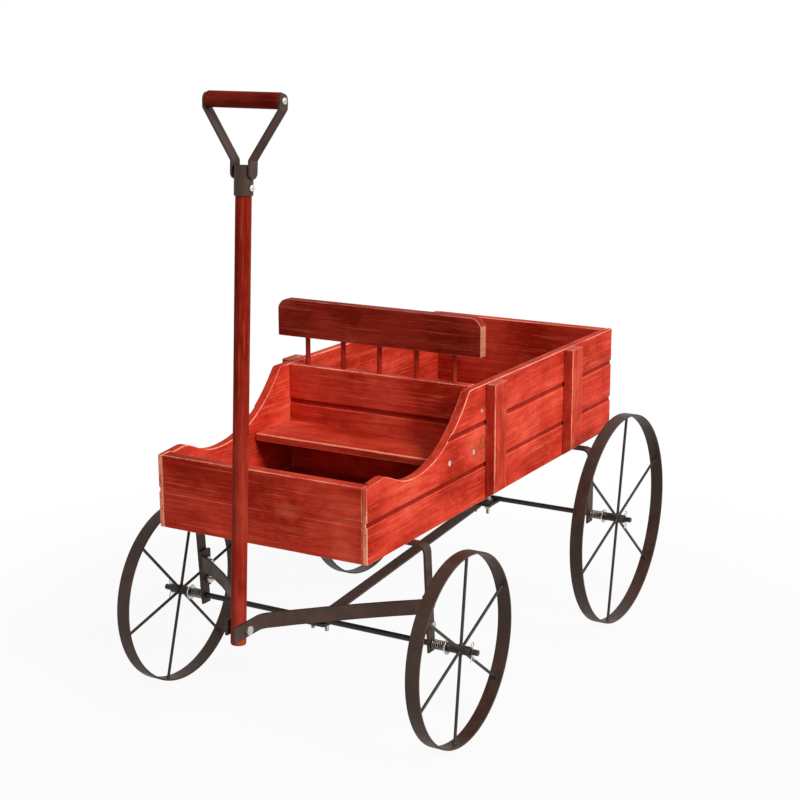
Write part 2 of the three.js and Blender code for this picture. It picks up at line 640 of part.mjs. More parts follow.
// The socket tube with two flat straps that spread from its sides to the ends of the grip.
function yoke() {
  const { radius, bore, bottom, top, screw } = SOCKET;
  const { width, thickness, bendLow, bendHigh, plateX } = STRAP;
  const tube = turned([[bore, bottom], [radius, bottom], [radius, top], [bore, top], [bore, bottom]], 24);
  const lowX = radius + thickness / 2 - 0.2; // welded to the tube
  const topZ = GRIP.height + width / 2;
  const path = [[lowX, STRAP.bottom], [lowX, bendLow], [plateX, bendHigh], [plateX, topZ]];
  const long = slab(strip(path, thickness, 3), width, 0).applyMatrix4(ALONG_Y);
  const outline = rectangle(-width / 2, width / 2, STRAP.bottom, topZ, width / 2);
  const rounding = moved(slab(outline, 60, 0, 6).applyMatrix4(ALONG_X), 5, 0, 0);
  const strap = shared(moved(long, 0, width / 2, 0), rounding);
  const screwHole = moved(rodX(SCREW.shank + GAP, -20, 20, 12), 0, 0, screw);
  const gripHole = moved(rodX(GRIP.hole, -60, 60, 12), 0, 0, GRIP.height);
  const inside = rodZ(bore, bottom - 1, top + 1, 24);
  return cut(joined(tube, strap, mirrored(strap)), inside, screwHole, gripHole);
}

function grip() {
  const { radius, halfLength, hole, holeDepth } = GRIP;
  const half = [[radius - 0.8, halfLength], [radius, halfLength - 0.8]];
  const profile = [[0, -halfLength], ...half.map(([r, z]) => [r, -z]), ...half.reverse(), [0, halfLength]];
  const dowel = turned(profile, 24).rotateY(Math.PI / 2);
  const holes = [-1, 1].map((side) => {
    const ends = [side * (halfLength - holeDepth), side * (halfLength + 1)];
    return rodX(hole, Math.min(...ends), Math.max(...ends), 12);
  });
  return moved(cut(dowel, ...holes), 0, 0, GRIP.height);
}

function gripScrew(side) {
  const seat = STRAP.plateX + STRAP.thickness / 2 + GAP;
  return moved(onSide(side, moved(roundScrew(SCREW.length), seat, 0, 0)), 0, 0, GRIP.height);
}

function socketScrew() {
  const seat = SOCKET.radius + GAP;
  return moved(roundScrew(2 * SOCKET.radius + 1.2), seat, 0, SOCKET.screw);
}

// ---------- The cart ----------

const cart = new THREE.Group();

const box = new THREE.Group();
SIDES.forEach(([name, side]) => box.add(mesh(`side_panel_${name}`, sidePanel(side), redWood())));
box.add(mesh('front_panel', frontPanel(), redWood()));
box.add(mesh('rear_panel', rearPanel(), redWood()));
const frontFloor = floorBoard(-bayHalfLength, SEAT_BACK.front - GAP);
const rearFloor = floorBoard(SEAT_BACK.front + SEAT_BACK.thickness + GAP, bayHalfLength);
box.add(mesh('floor_board_front', frontFloor, redWood()));
box.add(mesh('floor_board_rear', rearFloor, redWood()));
box.add(mesh('seat_board', seatBoard(), redWood()));
box.add(mesh('seat_back', seatBack(), redWood()));
box.add(mesh('backrest_board', backrestBoard(), redWood()));
spindlePlaces.forEach((x, i) => box.add(mesh(`spindle_${i + 1}`, spindle(x), redDowel())));
SIDES.forEach(([name, side]) => BATTEN.middles.forEach((middle, i) => {
  box.add(mesh(`batten_${name}_${i + 1}`, batten(side, middle), redWood()));
}));
cart.add(box);

const undercarriage = new THREE.Group();
ENDS.forEach(([endName, end]) => {
  undercarriage.add(mesh(`${endName}_fork`, fork(end), bronze()));
  undercarriage.add(mesh(`${endName}_axle`, axle(end), bronze()));
  SIDES.forEach(([name, side]) => {
    undercarriage.add(mesh(`reach_bolt_${endName}_${name}`, reachBolt(end, side), zinc()));
    undercarriage.add(mesh(`spring_${endName}_${name}`, spring(end, side), zinc()));
    undercarriage.add(mesh(`washer_${endName}_${name}`, washer(end, side), zinc()));
    undercarriage.add(mesh(`split_pin_${endName}_${name}`, splitPin(end, side), zinc()));
  });
});
undercarriage.add(mesh('reach_bar', reachBar(), bronze()));
SIDES.forEach(([name, side]) => {
  const bar = hound(side, HOUND_FRONT[name], HOUND_BOW[name]);
  undercarriage.add(mesh(`hound_${name}`, bar, bronze()));
  HOUND_BOLT_PLACES.heights.forEach((height, i) => {
    undercarriage.add(mesh(`hound_bolt_${name}_${i + 1}`, houndBolt(side, height), zinc()));
  });
});
undercarriage.add(mesh('pivot_bolt', pivotBolt(), zinc()));
cart.add(undercarriage);

ENDS.forEach(([endName, end]) => SIDES.forEach(([name, side]) => {
  const place = `${endName}_${name}`;
  const wheel = new THREE.Group();
  wheel.add(mesh(`wheel_rim_${place}`, rim(end), bronze()));
  wheel.add(mesh(`wheel_spokes_${place}`, spokes(end, SPOKE_TURN[place], side), bronze()));
  wheel.position.set(side * end.rimX, end.y, end.wheelRadius);
  cart.add(wheel);
}));

const handle = new THREE.Group();
handle.add(mesh('handle_pole', pole(), redDowel()));
handle.add(mesh('handle_yoke', yoke(), bronze()));
handle.add(mesh('handle_grip', grip(), redDowel()));
SIDES.forEach(([name, side]) => handle.add(mesh(`grip_screw_${name}`, gripScrew(side), zinc())));
handle.add(mesh('socket_screw', socketScrew(), zinc()));
handle.position.set(0, PIVOT.y, PIVOT.z);
handle.rotation.x = -LEAN;
cart.add(handle);

// The origin lies on the ground under the middle of the cart's whole length.
cart.position.y = -(HOUND_FRONT.right + REAR.y + REAR.wheelRadius) / 2;

console.log(`least gap between the turns of a spring: ${leastSpringGap().toFixed(2)} mm`);

export default cart;
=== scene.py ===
"""Looks of a small flower cart stand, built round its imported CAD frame. Metres, +Z up.

The handle end is at -Y. Boards and dowels are modelled anew, with the unevenness and the rubbed
edges of painted wood. Wheels, springs and fasteners are modelled finer than their CAD solids. The
bent flat bars and the axles are copies of theirs with softened edges.
"""

import json
import math
import random

import bmesh
import bpy
from mathutils import Matrix, Vector, noise


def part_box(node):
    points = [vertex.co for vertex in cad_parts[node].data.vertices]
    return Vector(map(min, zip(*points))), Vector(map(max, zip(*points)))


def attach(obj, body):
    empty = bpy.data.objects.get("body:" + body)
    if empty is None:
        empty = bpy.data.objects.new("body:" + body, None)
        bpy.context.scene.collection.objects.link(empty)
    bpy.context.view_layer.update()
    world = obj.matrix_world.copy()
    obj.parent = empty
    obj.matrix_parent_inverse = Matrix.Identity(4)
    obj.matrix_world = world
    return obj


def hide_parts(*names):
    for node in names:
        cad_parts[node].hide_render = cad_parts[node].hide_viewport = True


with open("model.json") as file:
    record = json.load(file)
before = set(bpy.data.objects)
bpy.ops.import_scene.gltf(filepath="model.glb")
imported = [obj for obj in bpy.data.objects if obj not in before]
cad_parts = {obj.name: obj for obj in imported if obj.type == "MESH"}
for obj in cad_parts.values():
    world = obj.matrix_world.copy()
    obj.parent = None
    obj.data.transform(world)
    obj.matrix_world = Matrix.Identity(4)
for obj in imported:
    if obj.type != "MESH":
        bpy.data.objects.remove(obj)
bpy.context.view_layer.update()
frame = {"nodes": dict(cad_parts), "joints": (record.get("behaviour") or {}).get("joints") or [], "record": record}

MM = 0.001
TAU = 2 * math.pi
ALONG_X = Matrix.Rotation(math.pi / 2, 4, "Y")  # turns a local Z axis along X

# ---------- Camera, lights, floor ----------

CAMERA_PLACE = (0.8124, -1.4134, 0.6723)
CAMERA_ANGLES = (29.907, 13.747, -0.159)  # azimuth, elevation and roll, in degrees
LENS = 73.3  # mm, for a film of this width
FILM_WIDTH = 36
WHITE = (1, 1, 1, 1)
FLOOR_GREY = (0.6, 0.6, 0.6, 1)
SKY_LIGHT = 0.42  # what falls on the cart; the sky that is seen is plain white
FLOOR_FADE = (0.3, 0.8)  # distances from the middle between which the floor turns plain white
FLOOR_WHITENESS = (0.93, 1.0)  # its share of plain white at those distances
FLOOR_HALF = 30


def make_camera():
    azimuth, elevation, roll = (math.radians(a) for a in CAMERA_ANGLES)
    level = math.cos(elevation)
    back = Vector((math.sin(azimuth) * level, -math.cos(azimuth) * level, math.sin(elevation)))
    right = Vector((math.cos(azimuth), math.sin(azimuth), 0))
    up = back.cross(right)
    across = right * math.cos(roll) + up * math.sin(roll)
    upward = up * math.cos(roll) - right * math.sin(roll)
    camera = bpy.data.objects.new("camera", bpy.data.cameras.new("camera"))
    camera.data.lens = LENS
    camera.data.sensor_width = FILM_WIDTH
    turn = Matrix((across, upward, back)).transposed().to_4x4()
    camera.matrix_world = Matrix.Translation(CAMERA_PLACE) @ turn
    bpy.context.collection.objects.link(camera)
    bpy.context.scene.camera = camera


def make_sun(name, toward, strength, spread):
    """A sun lamp that stands in the direction toward, spread degrees wide in the sky."""
    sun = bpy.data.objects.new(name, bpy.data.lights.new(name, "SUN"))
    sun.data.energy = strength
    sun.data.angle = math.radians(spread)
    sun.rotation_mode = "QUATERNION"
    sun.rotation_quaternion = Vector(toward).to_track_quat("Z", "Y")
    bpy.context.collection.objects.link(sun)


class Nodes:
    """A short way to build a node tree."""

    def __init__(self, tree):
        self.tree = tree
        tree.nodes.clear()

    def add(self, kind, values=None, **settings):
        node = self.tree.nodes.new(kind)
        for name, value in settings.items():
            setattr(node, name, value)
        for socket, value in (values or {}).items():
            self.put(node.inputs[socket], value)
        return node

    def put(self, socket, value):
        if isinstance(value, bpy.types.NodeSocket):
            self.tree.links.new(value, socket)
        elif isinstance(value, bpy.types.Node):
            self.tree.links.new(value.outputs[0], socket)
        else:
            socket.default_value = value

    def math(self, operation, a, b):
        return self.add("ShaderNodeMath", {0: a, 1: b}, operation=operation).outputs[0]

    def vector(self, operation, a, b=None, scale=None):
        given = {0: a, 1: b, "Scale": scale}
        given = {socket: value for socket, value in given.items() if value is not None}
        node = self.add("ShaderNodeVectorMath", given, operation=operation)
        return node.outputs["Value" if operation == "LENGTH" else "Vector"]

    def ramp(self, value, low, high, to_low=0.0, to_high=1.0):
        """Takes low..high smoothly to to_low..to_high. low may be the greater."""
        given = dict(enumerate((value, low, high, to_low, to_high)))
        node = self.add("ShaderNodeMapRange", given, interpolation_type="SMOOTHSTEP")
        return node.outputs[0]

    def mix(self, share, a, b):
        """A colour mix; sockets 6 and 7 are the colours'."""
        return self.add("ShaderNodeMix", {0: share, 6: a, 7: b}, data_type="RGBA").outputs[2]

    def noise(self, at, stretch, detail, roughness):
        """Noise whose frequency is one number, or one for each axis."""
        if isinstance(stretch, tuple):
            at = self.vector("MULTIPLY", at, stretch)
            stretch = 1.0
        values = {"Vector": at, "Scale": stretch, "Detail": detail, "Roughness": roughness}
        return self.add("ShaderNodeTexNoise", values).outputs["Fac"]


def rgb(red, green, blue):
    """An sRGB colour, 0 to 255, as linear RGBA."""
    def linear(value):
        value /= 255
        return value / 12.92 if value <= 0.04045 else ((value + 0.055) / 1.055) ** 2.4
    return (linear(red), linear(green), linear(blue), 1.0)


def seen_share(n):
    """1 for rays from the camera and for mirrored and refracted ones, 0 for light that bounces."""
    path = n.add("ShaderNodeLightPath")
    seen = n.math("MAXIMUM", path.outputs["Is Camera Ray"], path.outputs["Is Glossy Ray"])
    return n.math("MAXIMUM", seen, path.outputs["Is Transmission Ray"])


def make_world():
    world = bpy.data.worlds.new("world")
    bpy.context.scene.world = world
    world.use_nodes = True
    n = Nodes(world.node_tree)
    lit = n.add("ShaderNodeBackground", {"Color": WHITE, "Strength": SKY_LIGHT})
    white = n.add("ShaderNodeBackground", {"Color": WHITE, "Strength": 1.0})
    both = n.add("ShaderNodeMixShader", {0: seen_share(n), 1: lit.outputs[0], 2: white.outputs[0]})
    n.add("ShaderNodeOutputWorld", {"Surface": both.outputs[0]})


def make_floor():
    """A grey floor that takes shadows, seen as white and wholly so far from the cart."""
    material = bpy.data.materials.new("floor")
    material.use_nodes = True
    n = Nodes(material.node_tree)
    place = n.add("ShaderNodeTexCoord").outputs["Object"]
    far = n.ramp(n.vector("LENGTH", place), *FLOOR_FADE, *FLOOR_WHITENESS)
    diffuse = n.add("ShaderNodeBsdfDiffuse", {"Color": FLOOR_GREY})
    white = n.add("ShaderNodeEmission", {"Color": WHITE, "Strength": 1.0})
    share = n.math("MULTIPLY", seen_share(n), far)
    both = n.add("ShaderNodeMixShader", {0: share, 1: diffuse.outputs[0], 2: white.outputs[0]})
    n.add("ShaderNodeOutputMaterial", {"Surface": both.outputs[0]})
    mesh = bpy.data.meshes.new("floor")
    corners = [(x * FLOOR_HALF, y * FLOOR_HALF, 0) for x, y in ((-1, -1), (1, -1), (1, 1), (-1, 1))]
    mesh.from_pydata(corners, [], [(0, 1, 2, 3)])
    mesh.materials.append(material)
    floor = bpy.data.objects.new("floor", mesh)
    bpy.context.collection.objects.link(floor)


bpy.context.scene.view_settings.view_transform = "Standard"
make_camera()
make_world()
make_floor()
make_sun("key", toward=(1.0, -0.2, 0.7), strength=3.0, spread=20)

# ---------- Materials ----------


WOOD_LAYERS = ("grain", "from_knot", "finish")  # attributes that the wood material reads


def material(name, build, **shader_values):
    """A Principled material whose build(n) returns the linked inputs as {socket: value}."""
    made = bpy.data.materials.new(name)
    made.use_nodes = True
    n = Nodes(made.node_tree)
    shader = n.add("ShaderNodeBsdfPrincipled", {**shader_values, **build(n)})
    n.add("ShaderNodeOutputMaterial", {"Surface": shader.outputs[0]})
    return made


def bump(n, height, distance, strength):
    values = {"Height": height, "Distance": distance, "Strength": strength}
    return n.add("ShaderNodeBump", values).outputs["Normal"]


def object_place(n):
    return n.add("ShaderNodeTexCoord").outputs["Object"]


def wood(n, knot_colour):
    """Red painted softwood. Attribute grain is the place in the plank (along, across, through it),
    from_knot the same from its one knot; finish holds how far the paint is rubbed, how far into a
    groove a point lies, which darkens it with painted shade, and the tone."""
    at, from_knot, finish = (n.add("ShaderNodeAttribute", attribute_name=name).outputs["Vector"]
                             for name in WOOD_LAYERS)
    wear, groove_shade, tone = n.add("ShaderNodeSeparateXYZ", {0: finish}).outputs
    _, across, through = n.add("ShaderNodeSeparateXYZ", {0: at}).outputs

    # Growth rings are level lines of a field that rises across the plank and bulges at the knot.
    ripple = n.add("ShaderNodeTexNoise", {"Vector": at, "Scale": 90.0}).outputs["Color"]
    shaken = n.vector("SCALE", ripple, scale=0.012)
    knot_place = n.vector("MULTIPLY", n.vector("ADD", from_knot, shaken), (0.62, 1.0, 0.1))
    to_knot = n.vector("LENGTH", n.vector("SUBTRACT", knot_place, (0.0037, 0.006, 0.0006)))
    bulge = n.ramp(to_knot, 0.001, 0.03, 1.0, 0.0)
    waver = n.noise(at, (3.0, 14.0, 14.0), 2.0, 0.5)
    field = n.math("ADD", n.math("MULTIPLY", across, 150.0), n.math("MULTIPLY", through, 90.0))
    field = n.math("ADD", field, n.math("MULTIPLY", bulge, 4.0))
    field = n.math("ADD", field, n.math("MULTIPLY", waver, 7.0))
    in_ring = n.math("PINGPONG", field, 1.0)
    late = n.ramp(in_ring, 0.5, 1.0)
    knot = n.ramp(to_knot, 0.0015, 0.0042, 1.0, 0.0)

    streaks = n.noise(at, (9.0, 170.0, 170.0), 4.0, 0.65)
    lines = n.noise(at, (18.0, 620.0, 620.0), 3.0, 0.65)
    fibres = n.noise(at, (90.0, 1900.0, 1900.0), 2.0, 0.6)
    blotches = n.noise(at, (13.0, 16.0, 16.0), 4.0, 0.6)
    fine = n.noise(at, (300.0, 700.0, 700.0), 3.0, 0.6)

    base = n.mix(n.ramp(blotches, 0.36, 0.56), rgb(160, 32, 13), rgb(200, 56, 38))
    layers = (  # value, where the layer begins and where it is full, its greatest share, colour
        (blotches, 0.52, 0.72, 0.8, rgb(228, 90, 66)),
        (streaks, 0.5, 0.74, 0.4, rgb(228, 92, 68)),
        (streaks, 0.46, 0.28, 0.24, rgb(154, 28, 12)),
        (lines, 0.54, 0.74, 0.5, rgb(242, 120, 94)),
        (lines, 0.44, 0.28, 0.24, rgb(150, 28, 12)),
        (in_ring, 0.5, 1.0, 0.26, rgb(150, 26, 11)),
        (fibres, 0.56, 0.76, 0.26, rgb(250, 146, 116)),
        (to_knot, 0.009, 0.003, 0.35, rgb(232, 104, 78)),
    )
    for value, begins, full, greatest, colour in layers:
        base = n.mix(n.ramp(value, begins, full, 0.0, greatest), base, colour)
    base = n.mix(n.math("MULTIPLY", knot, n.ramp(fine, 0.2, 0.8, 0.0, 0.75)), base, knot_colour)
    # Painted shade: the deeper part of each groove is darkened toward a dark red.
    base = n.mix(n.ramp(groove_shade, 0.1, 0.9, 0.0, 0.75), base, rgb(116, 14, 4))

    # Paint is rubbed through in broken stretches of the edges.
    long_gaps = n.noise(at, (22.0, 22.0, 22.0), 3.0, 0.6)
    broken = n.math("ADD", n.math("MULTIPLY", long_gaps, 1.3), n.math("MULTIPLY", fine, 0.8))
    worn = n.math("ADD", wear, broken)
    rubbed = n.ramp(worn, 1.85, 2.1)
    base = n.mix(n.ramp(worn, 1.35, 1.9, 0.0, 0.6), base, rgb(232, 110, 84))
    base = n.mix(n.math("MULTIPLY", rubbed, 0.85), base, rgb(250, 166, 134))
    base = n.vector("SCALE", base, scale=tone)

    relief = n.math("SUBTRACT", n.math("MULTIPLY", lines, 0.8), n.math("MULTIPLY", late, 0.35))
    relief = n.math("ADD", relief, streaks)
    rough = n.ramp(n.math("ADD", streaks, n.math("MULTIPLY", rubbed, 0.3)), 0.3, 0.9, 0.45, 0.7)
    return {"Base Color": base, "Roughness": rough, "Normal": bump(n, relief, 0.00035, 0.7)}


def bronze(n):
    """Dark brown paint with a fine orange peel, in two shades with paler specks."""
    at = object_place(n)
    patches = n.noise(at, 70.0, 3.0, 0.55)
    specks = n.noise(at, 700.0, 2.0, 0.6)
    base = n.mix(n.ramp(patches, 0.35, 0.7), rgb(54, 37, 28), rgb(68, 48, 37))
    base = n.mix(n.ramp(specks, 0.6, 0.75, 0.0, 0.3), base, rgb(92, 70, 56))
    rough = n.ramp(patches, 0.3, 0.7, 0.46, 0.6)
    return {"Base Color": base, "Roughness": rough, "Normal": bump(n, specks, 0.00012, 0.5)}


def iron(n):
    """The blacker paint of spokes and axles."""
    at = object_place(n)
    patches = n.noise(at, 90.0, 3.0, 0.55)
    specks = n.noise(at, 900.0, 2.0, 0.5)
    base = n.mix(n.ramp(patches, 0.35, 0.7), rgb(40, 35, 32), rgb(56, 50, 45))
    rough = n.ramp(patches, 0.3, 0.7, 0.42, 0.55)
    return {"Base Color": base, "Roughness": rough, "Normal": bump(n, specks, 0.0001, 0.5)}


def plated(dull, bright):
    """Plated metal between two colours, a little clouded."""
    def build(n):
        clouds = n.noise(object_place(n), 260.0, 3.0, 0.6)
        base = n.mix(n.ramp(clouds, 0.3, 0.7), dull, bright)
        rough = n.ramp(clouds, 0.3, 0.7, 0.4, 0.26)
        return {"Base Color": base, "Roughness": rough, "Normal": bump(n, clouds, 0.00003, 0.3)}
    return build


PAINTED = {"Metallic": 0.0, "Specular IOR Level": 0.3}
MATT = {"Specular IOR Level": 0.02}
WOOD = material("red_boards", lambda n: wood(n, rgb(206, 96, 62)), **MATT)
# Wood drawn brown at the place given as its knot, where the rings bulge round it.
BROWN_SPOT_WOOD = material("red_boards_brown_spot", lambda n: wood(n, rgb(120, 56, 28)), **MATT)
BRONZE = material("bronze_metal", bronze, **PAINTED)
IRON = material("spoke_metal", iron, **PAINTED)
ZINC = material("zinc_plate", plated(rgb(184, 181, 172), rgb(222, 219, 210)), Metallic=1.0)
DULL_ZINC = material("dull_zinc", plated(rgb(148, 145, 136), rgb(188, 185, 175)), Metallic=1.0)
SPRING_STEEL = material("spring_wire", plated(rgb(104, 99, 90), rgb(146, 140, 128)), Metallic=1.0)

# ---------- Making pieces ----------

MEETING = 0.002 * MM  # points nearer than this are one


def body_of_node(node):
    return next(b for b, members in frame["record"]["behaviour"]["bodies"].items() if node in members)


def slot_of_node(node):
    return next(p["material_slot"] for p in frame["record"]["subparts"] if p["node"] == node)


def place(name, mesh, finish, *nodes, slot=None, body=None):
    """Links a finished mesh as a piece that stands for these CAD nodes, if any. With none, slot
    and body are given; the slot is not used."""
    piece = bpy.data.objects.new(name, mesh)
    bpy.context.collection.objects.link(piece)
    mesh.materials.clear()
    mesh.materials.append(finish)
    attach(piece, body or body_of_node(nodes[0]))
    if nodes:
        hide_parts(*nodes)
    slot or slot_of_node(nodes[0])
    return piece


def clean(shape):
    """Merges points that meet, drops faces without area and loose points, and turns all faces
    outward."""
    bmesh.ops.remove_doubles(shape, verts=shape.verts, dist=MEETING)
    bmesh.ops.dissolve_degenerate(shape, dist=MEETING, edges=shape.edges)
    loose = [v for v in shape.verts if not v.link_faces]
    bmesh.ops.delete(shape, geom=loose, context="VERTS")
    bmesh.ops.recalc_face_normals(shape, faces=shape.faces)


def mesh_of(name, shape, sharp=None):
    """A smooth mesh from a bmesh; with sharp, edges bent by more degrees than that stay crisp."""
    clean(shape)
    for face in shape.faces:
        face.smooth = True
    mesh = bpy.data.meshes.new(name)
    shape.to_mesh(mesh)
    shape.free()
    if sharp is not None:
        mesh.set_sharp_from_angle(angle=math.radians(sharp))
    return mesh


def even_shading(piece):
    """Shades faces by their area, so that flat ones stay flat beside rounded edges."""
    normals = piece.modifiers.new("normals", "WEIGHTED_NORMAL")
    normals.keep_sharp = True


def loft(shape, rings, closed=False, capped=True):
    """Joins successive rings of points by faces. A closed loft joins the last to the first; a
    capped one is closed by its end rings."""
    rows = [[shape.verts.new(p) for p in ring] for ring in rings]
    pairs = list(zip(rows, rows[1:]))
    if closed:
        pairs.append((rows[-1], rows[0]))
    for a, b in pairs:
        for i in range(len(a)):
            j = (i + 1) % len(a)
            shape.faces.new((a[i], a[j], b[j], b[i]))
    if capped and not closed:
        shape.faces.new(rows[0])
        shape.faces.new(rows[-1])
    return rows


def circle(radius, height, sides):
    return [Vector((radius * math.cos(TAU * i / sides), radius * math.sin(TAU * i / sides), height))
            for i in range(sides)]


def turned(shape, profile, at, sides=32, closed=False):
    """A profile of (radius, height) pairs turned about Z and put in place by the matrix at."""
    rings = [[at @ p for p in circle(max(r, 0.0), z, sides)] for r, z in profile]
    flat_ends = profile[0][0] > 0 and profile[-1][0] > 0
    loft(shape, rings, closed=closed, capped=flat_ends)


def frame_at(point, toward):
    """A place whose Z axis points toward a direction."""
    turn = Vector(toward).to_track_quat("Z", "Y").to_matrix().to_4x4()
    return Matrix.Translation(point) @ turn


def tube(shape, path, radius, sides):
    """A round wire along a path."""
    turns = [TAU * k / sides for k in range(sides)]
    rings = []
    normal = None
    for i, point in enumerate(path):
        before, after = path[max(i - 1, 0)], path[min(i + 1, len(path) - 1)]
        along = (after - before).normalized()
        if normal is None:
            normal = along.orthogonal().normalized()
        normal = (normal - along * normal.dot(along)).normalized()
        side = along.cross(normal)
        rings.append([point + (normal * math.cos(a) + side * math.sin(a)) * radius for a in turns])
    loft(shape, rings)


def smooth_path(points, steps):
    """Catmull-Rom points through a list of points."""
    path = []
    padded = [points[0] * 2 - points[1], *points, points[-1] * 2 - points[-2]]
    for a, b, c, d in zip(padded, padded[1:], padded[2:], padded[3:]):
        for k in range(steps):
            t = k / steps
            path.append(0.5 * (2 * b + (c - a) * t + (2 * a - 5 * b + 4 * c - d) * t ** 2
                               + (3 * b - a - 3 * c + d) * t ** 3))
    path.append(points[-1])
    return path


def middle_of(node):
    low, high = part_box(node)
    return (low + high) / 2


def wood_layers(shape):
    return [shape.verts.layers.float_vector.new(name) for name in WOOD_LAYERS]


def by_chance(seed):
    """A place in the grain, other for each seed."""
    return Vector([seed.uniform(0, 5) for _ in range(3)])


# ---------- Boards ----------

EDGE = 1.0 * MM  # rounding of sawn edges
WORN_BAND = 0.5 * MM  # how far a rubbed edge reaches onto the faces beside it
STEP = 5 * MM  # between sections
ROW = 10 * MM  # between rows of points up a section
SPLIT_GAP = 0.001 * MM  # from a step of the back face to the sections beside it
DENT = 0.09 * MM  # how deep the unevenness of a planed face goes
SLANT_REACH = 20 * MM  # how far along a board the slant of its end is felt
ROUNDED_END = ((0, 1), (0.13, 0.5), (0.5, 0.13), (1, 0))  # place and inset, in radii
GROOVE_DEPTH = 1.3 * MM
FRONT_GROOVE_DEPTH = 0.6 * MM
GROOVE_FLOOR = 1.8 * MM  # half its width
LIP = 0.35 * MM  # half the width of a groove's rounded lip
LOWER_GROOVE = (226.0 * MM, 231.5 * MM)
UPPER_GROOVE = (268.0 * MM, 274.3 * MM)


def groove_profile(bands, depth):
    """Points (height, depth, wear) across each groove, wider at the face than at its floor."""
    profile = []
    for low, high in bands:
        middle = (low + high) / 2
        profile += [
            (low - WORN_BAND, 0, 0), (low - LIP, 0, 0.68), (low + LIP, 0.2 * depth, 0.45),
            (middle - GROOVE_FLOOR, depth, 0), (middle + GROOVE_FLOOR, depth, 0),
            (high - LIP, 0.2 * depth, 0.35), (high + LIP, 0, 0.6), (high + WORN_BAND, 0, 0),
        ]
    return profile


def profile_at(profile, height):
    """Depth and wear of a groove profile at a height."""
    for (u0, d0, w0), (u1, d1, w1) in zip(profile, profile[1:]):
        if u0 <= height <= u1:
            t = (height - u0) / (u1 - u0)
            return d0 + (d1 - d0) * t, w0 + (w1 - w0) * t
    return 0, 0


def arc(t_middle, u_middle, radius, start):
    """Four points of a quarter circle in a section, most worn in its middle. start is in quarter
    turns."""
    angles = [(start + i / 3) * math.pi / 2 for i in range(4)]
    return [(t_middle + radius * math.cos(a), u_middle + radius * math.sin(a), worn, 0.0)
            for a, worn in zip(angles, (0.55, 1.0, 1.0, 0.55))]


def section(inner, outer, low, high, radius, profile, rows):
    """Points (t, u, wear, deep) round a board's section, up its outer face first."""
    reach = radius + WORN_BAND
    near = [low + reach, high - reach]
    heights = sorted(min(max(u, low + radius), high - radius) for u in [*rows, *near])
    points = []
    for u in heights:
        depth, wear = profile_at(profile, u)
        # How much painted shade a groove gets: none down to the front panel's shallow depth, full at a deep
        # groove's floor.
        groove_shade = max(depth - FRONT_GROOVE_DEPTH, 0) / (GROOVE_DEPTH - FRONT_GROOVE_DEPTH)
        points.append((outer - depth, u, wear, groove_shade))
    points += arc(outer - radius - profile_at(profile, high - radius)[0], high - radius, radius, 0)
    middle = (inner + outer) / 2
    points.append((max(outer - reach, middle), high, 0, 0))
    points.append((min(inner + reach, middle), high, 0, 0))
    points += arc(inner + radius, high - radius, radius, 1)
    points += [(inner, u, 0, 0) for u in (near[1], (low + high) / 2, near[0])]
    points += arc(inner + radius, low + radius, radius, 2)
    points.append((min(inner + reach, middle), low, 0, 0))
    points.append((max(outer - reach, middle), low, 0, 0))
    points += arc(outer - radius, low + radius, radius, 3)
    return points


AXES = {"x": 0, "y": 1, "z": 2}


def stations_along(start, end, radius, stops, split):
    """Places for a board's sections, each with how far its rounded end is inset there."""
    count = max(2, round((end - start) / STEP))
    evenly = [start + (end - start) * i / count for i in range(1, count)]
    places = {round(s, 6) for s in [*evenly, *stops] if start + 3 * radius < s < end - 3 * radius}
    rounded = [(start + along * radius, inset * radius) for along, inset in ROUNDED_END]
    rounded.append((start + radius + WORN_BAND, 0))
    stations = rounded + [(s, 0) for s in sorted(places)]
    stations += [(start + end - s, inset) for s, inset in reversed(rounded)]
    return sorted(stations + [(s + side * SPLIT_GAP, 0) for s in split for side in (-1, 1)])


